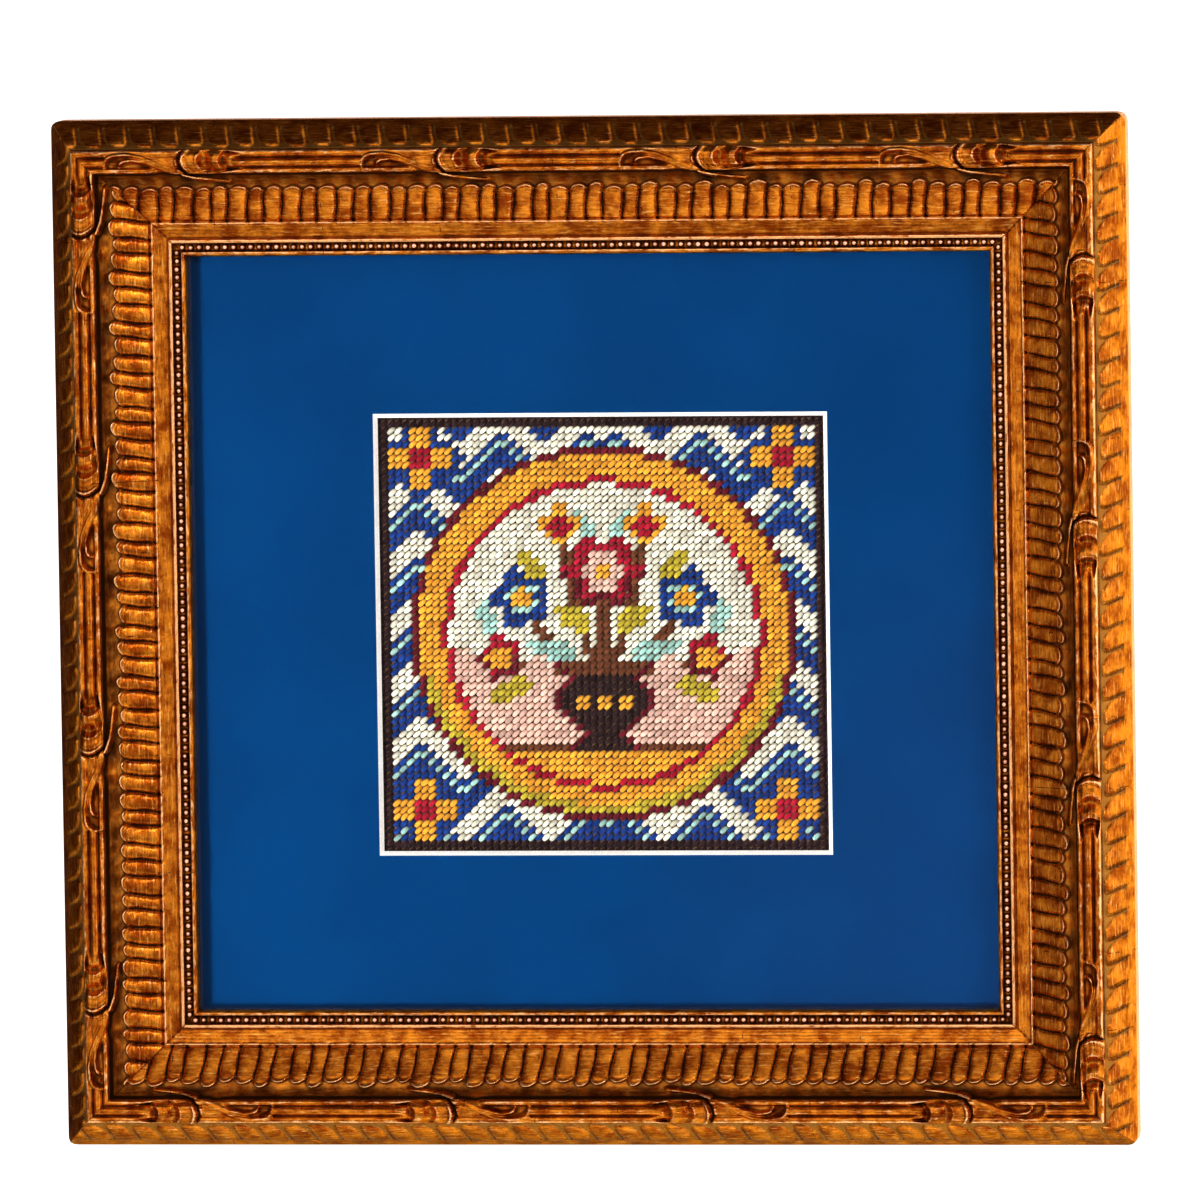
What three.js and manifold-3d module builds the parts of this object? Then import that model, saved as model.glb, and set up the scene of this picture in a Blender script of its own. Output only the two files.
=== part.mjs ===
// Framed needlepoint picture: a gilded ornamental frame, a pane of glass, a window mat,
// a sheet of stitched canvas and a plain backing board.
// Millimetres, +Z up. The picture faces -Y and its back lies in the plane y = 0.
// The origin is the middle of the top rail's back face, where the picture meets the wall.
import * as THREE from 'three';
import { mergeVertices } from 'three/addons/utils/BufferGeometryUtils.js';
import Module from 'manifold-3d';

const wasm = await Module();
wasm.setup();

// Driving dimensions of the frame
const FRAME_WIDTH = 385;
const FRAME_HEIGHT = 367;
const RAIL_WIDTH = 48.5;
const RABBET_WIDTH = 6;
const RABBET_DEPTH = 9.5;
const CORNER_RADIUS = 3.5;
const FIT_GAP = 0.3;

// Driving dimensions of what the frame holds
const GLASS_THICKNESS = 2;
const MAT_THICKNESS = 1.5;
const CANVAS_THICKNESS = 2;
const BACKING_THICKNESS = 2.5;
const WINDOW_WIDTH = 163;
const WINDOW_HEIGHT = 158;
const WINDOW_SHIFT_X = 3;
const WINDOW_SHIFT_Z = -1;
const CANVAS_MARGIN = 14;

// Repeats of the carved ornament, measured along a rail: the level rails' are a little longer
const LEVEL = { flutePitch: 6.45, gadroonPitch: 9.2 };
const UPRIGHT = { flutePitch: 6, gadroonPitch: 8.45 };
const SCROLL_PITCH = 92.5;
const SCROLLS_PER_RAIL = 4;

// The moulding's section: distance in from the outer edge, and height in front of the back
const SIDE_HEIGHT = 10;
const GADROON = {
  outer: { inset: 1.6, height: 13.5 },
  narrow: { inset: 3.6, groove: 16.2, crown: 18.2 },
  broad: { inset: 7.4, groove: 23, crown: 25.6 },
  inner: { inset: 9.4, groove: 26.4 },
  slant: 0.4,
  webShare: 0.16,
};
const CREST = [
  { inset: 9.5, height: 27.4 },
  { inset: 10.1, height: 29.6 },
  { inset: 11.6, height: 30.2 },
  { inset: 12.3, height: 29.2 },
  { inset: 13.1, height: 31 },
  { inset: 15.3, height: 31.2 },
  { inset: 16.1, height: 29.2 },
  { inset: 16.6, height: 30 },
  { inset: 17.7, height: 29.4 },
  { inset: 18.3, height: 26 },
  { inset: 20.2, height: 22.6 },
];
const FLUTE = {
  cove: { inset: 22.4, height: 21.4 },
  tip: { inset: 23.6, foot: 21.2, top: 23.2, slope: 0.5, shoulder: 0.7 },
  notch: { inset: 25.6, foot: 20.6, top: 21.2 },
  end: { inset: 35.6, groove: 14.8, crown: 16.2 },
  step: { inset: 36, height: 15 },
  longTip: 0.9,
  wobble: 0.5,
  slant: 0.14,
};
const FILLETS = [
  { inset: 36.4, height: 15.6 },
  { inset: 37.2, height: 15 },
  { inset: 42, height: 14.4 },
  { inset: 42.4, height: 15.4 },
  { inset: 43.3, height: 15.4 },
  { inset: 43.7, height: 13 },
  { inset: 46.4, height: 12.8 },
  { inset: 46.8, height: 14.4 },
  { inset: 47.8, height: 14.4 },
  { inset: RAIL_WIDTH, height: 13.6 },
];

// Each rail's length, the side it lies on in quarter turns from the top, its distance from the
// picture's middle, where along it the first leaf scroll begins, and its repeats
const RAILS = {
  frame_rail_top: {
    length: FRAME_WIDTH, turns: 0, outward: FRAME_HEIGHT / 2, scroll: 22, repeats: LEVEL,
  },
  frame_rail_right: {
    length: FRAME_HEIGHT, turns: 1, outward: FRAME_WIDTH / 2, scroll: 22, repeats: UPRIGHT,
  },
  frame_rail_bottom: {
    length: FRAME_WIDTH, turns: 2, outward: FRAME_HEIGHT / 2, scroll: 30, repeats: LEVEL,
  },
  frame_rail_left: {
    length: FRAME_HEIGHT, turns: 3, outward: FRAME_WIDTH / 2, scroll: 22, repeats: UPRIGHT,
  },
};

// Room beyond a rail's ends and faces for the solids that trim it, and how far forward they reach
const OVERRUN = 1;
const TRIM_REACH = 40;

const GILT = { color: 0x96601c, roughness: 0.35, metalness: 0.7 };
const GLASS = { color: 0xe8f0ee, roughness: 0.05, metalness: 0, transparent: true, opacity: 0.25 };
const MAT_BLUE = { color: 0x0b4a8f, roughness: 0.85, metalness: 0 };
const CANVAS_CREAM = { color: 0xd9c9a0, roughness: 0.95, metalness: 0 };
const BOARD_BROWN = { color: 0x9a7a52, roughness: 0.9, metalness: 0 };

// Turns a closed geometry into a solid that can be joined and cut.
function toSolid(geometry) {
  const bare = geometry.index ? geometry.toNonIndexed() : geometry.clone();
  bare.deleteAttribute('normal');
  bare.deleteAttribute('uv');
  const merged = mergeVertices(bare, 1e-4);
  return new wasm.Manifold(new wasm.Mesh({
    numProp: 3,
    vertProperties: new Float32Array(merged.attributes.position.array),
    triVerts: new Uint32Array(merged.index.array),
  }));
}

// Turns a solid back into a geometry.
function toGeometry(solid) {
  const mesh = solid.getMesh();
  const geometry = new THREE.BufferGeometry();
  geometry.setAttribute('position', new THREE.BufferAttribute(mesh.vertProperties, 3));
  geometry.setIndex(new THREE.BufferAttribute(mesh.triVerts, 1));
  geometry.computeVertexNormals();
  return geometry;
}

// Makes a closed geometry from its corner points and its triangles.
function indexedGeometry(points, triangles) {
  const geometry = new THREE.BufferGeometry();
  geometry.setAttribute('position', new THREE.Float32BufferAttribute(points.flat(), 3));
  geometry.setIndex(triangles.flat());
  return geometry;
}

// The lines across a rail where a repeat begins, from end to end.
function repeatLines(length, pitch, shift) {
  const count = Math.round(length / pitch);
  const step = length / count;
  return Array.from({ length: count + 1 }, (_, i) => i * step)
    .filter((along) => along + shift > 0 && along + shift < length);
}

// A row of points along a rail, from one end to the other, each with its own inset and height.
function row(length, points) {
  const first = points[0];
  const last = points[points.length - 1];
  return [
    { ...first, along: -OVERRUN },
    ...points,
    { ...last, along: length + OVERRUN },
  ];
}

// A plain row, with points only at its ends or at the given lines as well.
function plainRow(length, { inset, height }, lines = []) {
  if (lines.length === 0) {
    return [{ along: -OVERRUN, inset, height }, { along: length + OVERRUN, inset, height }];
  }
  return row(length, lines.map((along) => ({ along, inset, height })));
}

// The gadroon edge: slanted lobes that narrow to a line outside and stand apart inside.
function gadroonRows(length, pitch) {
  const { outer, narrow, broad, inner, slant, webShare } = GADROON;
  const lines = repeatLines(length, pitch, slant * inner.inset);
  const step = lines[1] - lines[0];
  const half = step / 2;
  const web = step * webShare;
  const lean = (inset) => slant * inset;
  const last = lines.length - 1;
  const outerLines = lines.map((along) => along + lean(outer.inset));
  const narrowPoints = lines.flatMap((along, i) => {
    const start = along + lean(narrow.inset);
    const groove = { along: start, inset: narrow.inset, height: narrow.groove };
    const crown = { along: start + half, inset: narrow.inset, height: narrow.crown };
    return i < last ? [groove, crown] : [groove];
  });
  const broadPoints = lines.flatMap((along, i) => {
    const start = along + lean(broad.inset);
    const low = { inset: broad.inset, height: broad.groove };
    const high = { inset: broad.inset, height: broad.crown };
    const lobe = [
      { along: start + web * 1.6, ...high },
      { along: start + step - web * 1.6, ...high },
      { along: start + step - web, ...low },
    ];
    return i < last ? [{ along: start + web, ...low }, ...lobe] : [{ along: start + web, ...low }];
  });
  const innerLines = lines.map((along) => along + lean(inner.inset));
  return [
    plainRow(length, { inset: outer.inset, height: outer.height }, outerLines),
    row(length, narrowPoints),
    row(length, broadPoints),
    plainRow(length, { inset: inner.inset, height: inner.groove }, innerLines),
  ];
}

// The flutes: convex lobes that lean a little, with rounded tips, every third one longer, and
// a groove between.
function fluteRows(length, pitch) {
  const { cove, tip, notch, end, step, longTip, wobble, slant } = FLUTE;
  const lines = repeatLines(length, pitch, 0)
    .map((along, i) => along + wobble * Math.sin(2.4 * i));
  const lean = (points) => points
    .map((point) => ({ ...point, along: point.along + slant * (end.inset - point.inset) }));
  const tipRow = (height) => lines.flatMap((along, i) => {
    const groove = { along, inset: notch.inset, height: notch[height] };
    if (i === lines.length - 1) return [groove];
    const width = lines[i + 1] - along;
    const reach = tip.inset - (i % 3 === 0 ? longTip : 0);
    const shoulder = { inset: reach + tip.shoulder, height: tip[height] };
    return [
      groove,
      { along: along + 0.22 * width, ...shoulder },
      { along: along + 0.5 * width, inset: reach, height: tip[height] },
      { along: along + 0.78 * width, ...shoulder },
    ];
  });
  const endPoints = lines.flatMap((along, i) => {
    const groove = { along, inset: end.inset, height: end.groove };
    if (i === lines.length - 1) return [groove];
    const middle = (along + lines[i + 1]) / 2;
    return [groove, { along: middle, inset: end.inset, height: end.crown }];
  });
  const topPoints = tipRow('top')
    .map((point) => ({ ...point, inset: point.inset + tip.slope }));
  return [
    plainRow(length, cove, lines),
    row(length, lean(tipRow('foot'))),
    row(length, lean(topPoints)),
    row(length, endPoints),
    plainRow(length, step, lines),
  ];
}

// All rows round the moulding's section, from the back's outer corner over the front.
function mouldingRows(length, { flutePitch, gadroonPitch }) {
  const rabbetInset = RAIL_WIDTH - RABBET_WIDTH;
  return [
    plainRow(length, { inset: 0, height: 0 }),
    plainRow(length, { inset: 0, height: SIDE_HEIGHT }),
    ...gadroonRows(length, gadroonPitch),
    ...CREST.map((point) => plainRow(length, point)),
    ...fluteRows(length, flutePitch),
    ...FILLETS.map((point) => plainRow(length, point)),
    plainRow(length, { inset: RAIL_WIDTH, height: RABBET_DEPTH }),
    plainRow(length, { inset: rabbetInset, height: RABBET_DEPTH }),
    plainRow(length, { inset: rabbetInset, height: 0 }),
  ];
}

// Joins two neighbouring rows with triangles, always stepping to the nearer next point.
function zipRows(rows, starts, a, b) {
  const triangles = [];
  let i = 0;
  let j = 0;
  while (i < rows[a].length - 1 || j < rows[b].length - 1) {
    const nextA = i < rows[a].length - 1 ? rows[a][i + 1].along : Infinity;
    const nextB = j < rows[b].length - 1 ? rows[b][j + 1].along : Infinity;
    if (nextA <= nextB) {
      triangles.push([starts[a] + i, starts[b] + j, starts[a] + i + 1]);
      i += 1;
    } else {
      triangles.push([starts[a] + i, starts[b] + j, starts[b] + j + 1]);
      j += 1;
    }
  }
  return triangles;
}

// Closes one end of the moulding over the given corner points.
function endCap(points, corners, facesBack) {
  const contour = corners.map((k) => new THREE.Vector2(-points[k][2], -points[k][1]));
  return THREE.ShapeUtils.triangulateShape(contour, []).map(([p, q, r]) => (
    facesBack ? [corners[p], corners[q], corners[r]] : [corners[p], corners[r], corners[q]]
  ));
}

// The whole moulding as one closed length, not yet mitred.
function mouldingGeometry(length, repeats) {
  const rows = mouldingRows(length, repeats);
  const starts = rows.map((_, k) => rows.slice(0, k).reduce((sum, each) => sum + each.length, 0));
  const points = rows.flat().map(({ along, inset, height }) => [along - length / 2, -height, -inset]);
  const triangles = rows.flatMap((_, a) => zipRows(rows, starts, a, (a + 1) % rows.length));
  const lasts = rows.map((each, k) => starts[k] + each.length - 1);
  triangles.push(...endCap(points, starts, true), ...endCap(points, lasts, false));
  return indexedGeometry(points, triangles);
}

// A lobe that tapers along a path: rings of points, each an ellipse of its own size.
function taperedLobe(stations) {
  const sides = 6;
  const points = stations.flatMap(({ along, inset, height, width, rise }) => (
    Array.from({ length: sides }, (_, k) => {
      const angle = (k / sides) * 2 * Math.PI;
      return [along, -(height + rise * Math.sin(angle)), -(inset + width * Math.cos(angle))];
    })
  ));
  const triangles = [];
  for (let s = 0; s < stations.length - 1; s += 1) {
    for (let k = 0; k < sides; k += 1) {
      const here = s * sides + k;
      const beside = s * sides + ((k + 1) % sides);
      triangles.push([here, here + sides, beside], [beside, here + sides, beside + sides]);
    }
  }
  const lastRing = (stations.length - 1) * sides;
  for (let k = 1; k < sides - 1; k += 1) {
    triangles.push([0, k, k + 1]);
    triangles.push([lastRing, lastRing + k + 1, lastRing + k]);
  }
  return indexedGeometry(points, triangles);
}

// One leaf scroll on the crest: a leaf that curls over and sweeps across the reeds,
// then two round knuckles that end it.
function scrollParts(start) {
  const leaf = taperedLobe([
    { along: start, inset: 14.4, height: 30, width: 1.2, rise: 1.6 },
    { along: start + 4, inset: 11.8, height: 30.4, width: 1.8, rise: 2.2 },
    { along: start + 13, inset: 12, height: 30.4, width: 2.2, rise: 2.4 },
    { along: start + 24, inset: 14.6, height: 29.8, width: 2.6, rise: 2.6 },
    { along: start + 36, inset: 17.4, height: 26.8, width: 2.4, rise: 2.4 },
    { along: start + 50, inset: 18.6, height: 24.6, width: 0.8, rise: 1 },
  ]);
  const knuckles = [28, 37].map((offset) => {
    const knuckle = new THREE.SphereGeometry(1, 7, 5);
    knuckle.scale(3, 3.2, 4.2);
    knuckle.translate(start + offset, -30, -13.6);
    return knuckle;
  });
  return [leaf, ...knuckles];
}

// The frame's outline with its slightly rounded outer corners, as a thick plate.
function outlinePlate() {
  const w = FRAME_WIDTH / 2 + OVERRUN;
  const h = FRAME_HEIGHT / 2 + OVERRUN;
  const r = CORNER_RADIUS;
  const outline = new THREE.Shape();
  outline.absarc(w - r, h - r, r, 0, Math.PI / 2);
  outline.absarc(-w + r, h - r, r, Math.PI / 2, Math.PI);
  outline.absarc(-w + r, -h + r, r, Math.PI, Math.PI * 1.5);
  outline.absarc(w - r, -h + r, r, Math.PI * 1.5, Math.PI * 2);
  return faceOnPlate(outline, -OVERRUN, TRIM_REACH, 5);
}

// Extrudes a shape drawn face on (x, z) from one height in front of the back to another.
function faceOnPlate(shape, from, to, curveSegments = 1) {
  const plate = new THREE.ExtrudeGeometry(shape, {
    depth: to - from, bevelEnabled: false, curveSegments,
  });
  plate.rotateX(Math.PI / 2);
  plate.translate(0, -from, 0);
  return plate;
}

// What the mitres leave of a rail: a trapezium whose ends slope at 45 degrees.
function mitrePlate(length) {
  const halfGap = (FIT_GAP / 2) * Math.SQRT2;
  const outerHalf = length / 2 - halfGap + OVERRUN;
  const innerHalf = length / 2 - halfGap - RAIL_WIDTH - OVERRUN;
  const shape = new THREE.Shape([
    new THREE.Vector2(-outerHalf, OVERRUN),
    new THREE.Vector2(-innerHalf, -RAIL_WIDTH - OVERRUN),
    new THREE.Vector2(innerHalf, -RAIL_WIDTH - OVERRUN),
    new THREE.Vector2(outerHalf, OVERRUN),
  ]);
  return faceOnPlate(shape, -OVERRUN, TRIM_REACH);
}

// One rail, made lying along x with its outer edge at z = 0, then turned to its side.
function rail(name, { length, turns, outward, scroll, repeats }) {
  const turn = (turns * Math.PI) / 2;
  let solid = toSolid(mouldingGeometry(length, repeats));
  for (let i = 0; i < SCROLLS_PER_RAIL; i += 1) {
    const start = scroll - length / 2 + i * SCROLL_PITCH;
    for (const part of scrollParts(start)) solid = solid.add(toSolid(part));
  }
  const outline = outlinePlate();
  outline.rotateY(-turn);
  outline.translate(0, 0, -outward);
  solid = solid.intersect(toSolid(mitrePlate(length))).intersect(toSolid(outline));
  const mesh = new THREE.Mesh(toGeometry(solid), new THREE.MeshStandardMaterial(GILT));
  mesh.name = name;
  mesh.rotation.y = turn;
  mesh.position.set(outward * Math.sin(turn), 0, outward * Math.cos(turn));
  return mesh;
}

// A rectangle drawn face on, centred on a point.
function rectangle(width, height, x = 0, z = 0) {
  return new THREE.Shape([
    new THREE.Vector2(x - width / 2, z - height / 2),
    new THREE.Vector2(x + width / 2, z - height / 2),
    new THREE.Vector2(x + width / 2, z + height / 2),
    new THREE.Vector2(x - width / 2, z + height / 2),
  ]);
}

// A flat sheet between two heights, as a named mesh.
function sheet(name, shape, from, to, look) {
  const mesh = new THREE.Mesh(faceOnPlate(shape, from, to), new THREE.MeshStandardMaterial(look));
  mesh.name = name;
  return mesh;
}

// The mat: a sheet with a window whose edge slopes at 45 degrees and is wider in front.
function mat(width, height, back) {
  const board = toSolid(faceOnPlate(rectangle(width, height), back, back + MAT_THICKNESS));
  const low = { out: back - OVERRUN, grow: -MAT_THICKNESS - OVERRUN };
  const high = { out: back + MAT_THICKNESS + OVERRUN, grow: OVERRUN };
  const corners = [low, high].flatMap(({ out, grow }) => {
    const halfWidth = WINDOW_WIDTH / 2 + grow;
    const halfHeight = WINDOW_HEIGHT / 2 + grow;
    return [[-1, -1], [1, -1], [1, 1], [-1, 1]].map(([sx, sz]) => (
      [WINDOW_SHIFT_X + sx * halfWidth, -out, WINDOW_SHIFT_Z + sz * halfHeight]
    ));
  });
  const triangles = [[0, 2, 1], [0, 3, 2], [4, 5, 6], [4, 6, 7]];
  for (let k = 0; k < 4; k += 1) {
    const next = (k + 1) % 4;
    triangles.push([k, next, next + 4], [k, next + 4, k + 4]);
  }
  const opening = toSolid(indexedGeometry(corners, triangles));
  const mesh = new THREE.Mesh(
    toGeometry(board.subtract(opening)), new THREE.MeshStandardMaterial(MAT_BLUE),
  );
  mesh.name = 'mat_board';
  return mesh;
}

// The pane, mat, canvas and board, stacked from the front of the rabbet to its back.
function contents() {
  const width = FRAME_WIDTH - 2 * (RAIL_WIDTH - RABBET_WIDTH) - 2 * FIT_GAP;
  const height = FRAME_HEIGHT - 2 * (RAIL_WIDTH - RABBET_WIDTH) - 2 * FIT_GAP;
  const glassBack = RABBET_DEPTH - FIT_GAP - GLASS_THICKNESS;
  const matBack = glassBack - FIT_GAP - MAT_THICKNESS;
  const canvasBack = matBack - FIT_GAP - CANVAS_THICKNESS;
  const backingBack = canvasBack - FIT_GAP - BACKING_THICKNESS;
  const canvasShape = rectangle(
    WINDOW_WIDTH + 2 * CANVAS_MARGIN, WINDOW_HEIGHT + 2 * CANVAS_MARGIN,
    WINDOW_SHIFT_X, WINDOW_SHIFT_Z,
  );
  const full = rectangle(width, height);
  return [
    sheet('glazing', full, glassBack, glassBack + GLASS_THICKNESS, GLASS),
    mat(width, height, matBack),
    sheet('needlepoint_canvas', canvasShape, canvasBack, canvasBack + CANVAS_THICKNESS, CANVAS_CREAM),
    sheet('backing_board', full, backingBack, backingBack + BACKING_THICKNESS, BOARD_BROWN),
  ];
}

const picture = new THREE.Group();
picture.add(...Object.entries(RAILS).map(([name, place]) => rail(name, place)), ...contents());
picture.position.z = -(FRAME_HEIGHT - (RAIL_WIDTH - RABBET_WIDTH)) / 2;

const group = new THREE.Group();
group.add(picture);
export default group;
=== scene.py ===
"""Looks of the framed needlepoint picture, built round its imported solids.

The moulding, the beads, the mat and the stitches are surfaces worked out with numpy in
millimetres, in a rail's own measures: t runs along the rail from its left end as seen from the
front, s runs in from the outer edge, and h stands forward from the back. The picture faces -Y.
"""

import math
from typing import NamedTuple

import bpy
import numpy as np
from mathutils import Matrix, Vector


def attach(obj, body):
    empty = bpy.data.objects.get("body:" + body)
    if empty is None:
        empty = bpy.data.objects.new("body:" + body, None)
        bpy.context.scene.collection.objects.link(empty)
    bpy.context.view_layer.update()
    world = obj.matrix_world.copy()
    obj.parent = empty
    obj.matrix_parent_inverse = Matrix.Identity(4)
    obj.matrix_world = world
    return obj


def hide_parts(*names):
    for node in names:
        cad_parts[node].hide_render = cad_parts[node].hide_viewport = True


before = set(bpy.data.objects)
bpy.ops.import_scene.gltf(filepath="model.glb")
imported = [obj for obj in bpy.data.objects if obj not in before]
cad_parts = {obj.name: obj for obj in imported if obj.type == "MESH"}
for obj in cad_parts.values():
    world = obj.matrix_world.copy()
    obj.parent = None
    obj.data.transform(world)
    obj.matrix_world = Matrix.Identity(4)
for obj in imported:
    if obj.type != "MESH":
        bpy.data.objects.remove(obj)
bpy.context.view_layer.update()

MM = 0.001

# The frame, as in the part's source, but with its mitres drawn closed to a hairline
FRAME_WIDTH, FRAME_HEIGHT = 385.0, 367.0
RAIL_WIDTH = 48.5
RABBET_INSET, RABBET_DEPTH = 42.5, 9.5
MITRE_GAP = 0.03 * math.sqrt(2)
CENTRE_Z = -(FRAME_HEIGHT - RABBET_INSET) / 2
CORNER_RADIUS = 3.5
SCROLL_PITCH, SCROLLS = 92.5, 4
GADROON_SLANT, FLUTE_SLANT, FLUTE_WOBBLE = 0.4, 0.14, 0.5
BEAD_INSET, BEAD_HEIGHT, BEAD_RADIUS = 45.2, 13.45, 1.2

# Where the moulding's bands end, in from its outer edge
EDGE_END, CREST_END, COVE_FOOT, FLUTES_END = 9.5, 18.4, 23.2, 36.0


class Rail(NamedTuple):
    """One side: its length, quarter turns from the top, distance out from the picture's middle,
    where its first leaf scroll starts, the pitch of its lobes, flutes and beads, and the share
    of a lobe's pitch that half its width takes."""
    length: float
    turns: int
    outward: float
    first_scroll: float
    gadroon: float
    flute: float
    bead: float
    lobe: float


LEVEL, UPRIGHT = (9.2, 6.45, 3.08, 0.405), (8.45, 6.0, 2.91, 0.455)
RAILS = {
    "top": Rail(FRAME_WIDTH, 0, FRAME_HEIGHT / 2, 22.0, *LEVEL),
    "right": Rail(FRAME_HEIGHT, 1, FRAME_WIDTH / 2, 22.0, *UPRIGHT),
    "bottom": Rail(FRAME_WIDTH, 2, FRAME_HEIGHT / 2, 30.0, *LEVEL),
    "left": Rail(FRAME_HEIGHT, 3, FRAME_WIDTH / 2, 22.0, *UPRIGHT),
}

# What the frame holds
MAT_WIDTH, MAT_HEIGHT = 299.4, 281.4
MAT_BACK, MAT_FRONT = 5.4, 6.9
WINDOW_WIDTH, WINDOW_HEIGHT = 163.0, 158.0
WINDOW_X, WINDOW_Z = 3.0, -1.0
CANVAS_WIDTH, CANVAS_HEIGHT = 191.0, 186.0
CANVAS_BACK, CANVAS_FRONT = 3.1, 3.7
STITCH_X, STITCH_Z = 2.556, 2.467
STITCHES = 64
STITCH_LEAN = math.radians(41)
STITCH_LOW, STITCH_HIGH = 3.12, 5.08

# Where each set of random draws starts
WAVE_SEED, BEAD_SEED, STITCH_SEED = 3, 40, 7


# Small helpers

def smooth(x, start, end):
    """0 before start, 1 after end, and 3u^2 - 2u^3 between, with u the share of the way."""
    u = np.clip((x - start) / (end - start), 0, 1)
    return u * u * (3 - 2 * u)


def hump(x, centre, half, power=2.0):
    """A round rise from 0 to 1 and back: sqrt(1 - |(x - centre) / half|^power)."""
    return np.sqrt(np.clip(1 - np.abs((x - centre) / half) ** power, 0, 1))


def bell(x, centre, width):
    """A soft rise from 0 to 1 and back: exp(-((x - centre) / width)^2)."""
    return np.exp(-((x - centre) / width) ** 2)


def ripple(s, t, seed):
    """Slow, uneven waves of about -1 to 1, the sum of four sines of unlike length and slope."""
    rng = np.random.default_rng(seed)
    total = 0
    for _ in range(4):
        a, b, phase = rng.uniform(0.5, 2.2), rng.uniform(-1.6, 1.6), rng.uniform(0, 6.28)
        total = total + np.sin(a * t + b * s + phase)
    return total / 4


def make_piece(name, points, faces, materials, face_slots=None, shade_smooth=True):
    """A mesh object from points in millimetres and arrays of faces, each of one corner count."""
    mesh = bpy.data.meshes.new(name)
    corners = np.concatenate([f.ravel() for f in faces]).astype(np.int32)
    counts = np.concatenate([np.full(len(f), f.shape[1]) for f in faces])
    starts = np.concatenate([[0], np.cumsum(counts)[:-1]]).astype(np.int32)
    mesh.vertices.add(len(points))
    mesh.vertices.foreach_set("co", (np.asarray(points) * MM).astype(np.float32).ravel())
    mesh.loops.add(len(corners))
    mesh.loops.foreach_set("vertex_index", corners)
    mesh.polygons.add(len(starts))
    mesh.polygons.foreach_set("loop_start", starts)
    if face_slots is not None:
        mesh.polygons.foreach_set("material_index", np.concatenate(face_slots).astype(np.int32))
    mesh.update(calc_edges=True)
    mesh.polygons.foreach_set("use_smooth", np.full(len(starts), shade_smooth))
    for material in materials:
        mesh.materials.append(material)
    piece = bpy.data.objects.new(name, mesh)
    bpy.context.scene.collection.objects.link(piece)
    return piece


def give_values(piece, name, values):
    """Stores one number a point on a piece, for its material to read."""
    attribute = piece.data.attributes.new(name, "FLOAT", "POINT")
    attribute.data.foreach_set("value", np.asarray(values, np.float32))


def give_map(piece, uv):
    """Stores a UV map from one pair of numbers a point."""
    corner = np.zeros(len(piece.data.loops), np.int32)
    piece.data.loops.foreach_get("vertex_index", corner)
    layer = piece.data.uv_layers.new(name="Surface")
    layer.data.foreach_set("uv", np.asarray(uv, np.float32)[corner].ravel())


def to_side(t, s, h, rail):
    """A rail's own measures to the picture's place: laid along x, turned, moved outwards."""
    x, z = t - rail.length / 2, -s
    angle = rail.turns * math.pi / 2
    c, n = round(math.cos(angle)), round(math.sin(angle))
    return np.stack([
        x * c + z * n + rail.outward * n,
        -h,
        z * c - x * n + rail.outward * c + CENTRE_Z,
    ], axis=-1)


# The moulding's relief, from the outer edge inwards

def gadroon_edge(s, t, rail):
    """The outer edge: a slope 10 + 2s - 0.028s^2 that starts steeper, and slanted lobes on it
    that rise as (1 - q)^0.5, q = c^3 + (past 5.2 mm)^2.3 with c the share of the half width,
    and stand higher on their far side. Also returns where dust lies, on the webs past q = 1 but
    not in the steep groove at a lobe's far side."""
    step = rail.length / round(rail.length / rail.gadroon)
    place = (t - GADROON_SLANT * s - 0.07 * (s - 5) ** 2 * (s > 5)) / step
    cell = np.floor(place)
    across = (place - cell - 0.5) * step
    slope = 10 + 2.0 * s - 0.028 * s * s
    foot = 10 + 3.13 * (np.clip(s / 1.6, 0, 1)) ** 0.75
    ground = np.where(s < 1.6, foot, slope)
    share = across / (step * (rail.lobe + 0.02 * np.sin(5.1 * cell)))
    past = np.clip((s - 5.2) / (3.6 + 0.3 * np.sin(2.3 * cell)), 0, None)
    q = np.abs(share) ** 3 + past ** 2.3
    rise = (2.1 + 0.2 * np.sin(3.7 * cell)) * smooth(s, 0.4, 3.6) * (0.85 + 0.3 * share)
    lobe = rise * np.clip(1 - q, 0, 1) ** 0.5
    dust = smooth(q, 0.9, 1.15) * smooth(s, 1.0, 3.0)
    dust = dust * (1 - smooth(share, 0.3, 0.8) * (1 - smooth(past, 0.4, 0.9)))
    return ground + lobe, dust


def reeds(s):
    """Three round reeds side by side on a flat of 28.8 mm."""
    return (28.8 + 1.5 * hump(s, 11.1, 1.35) + 2.5 * hump(s, 14.2, 1.6)
            + 1.4 * hump(s, 17.05, 1.05))


def curve_distance(x, s, xs, ss):
    """How far a point lies from a curve s = f(x), squarely: (s - f) / sqrt(1 + f'^2)."""
    line = np.interp(x, xs, ss)
    slope = (np.interp(x + 0.4, xs, ss) - np.interp(x - 0.4, xs, ss)) / 0.8
    return (s - line) / np.sqrt(1 + slope * slope)


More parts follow.
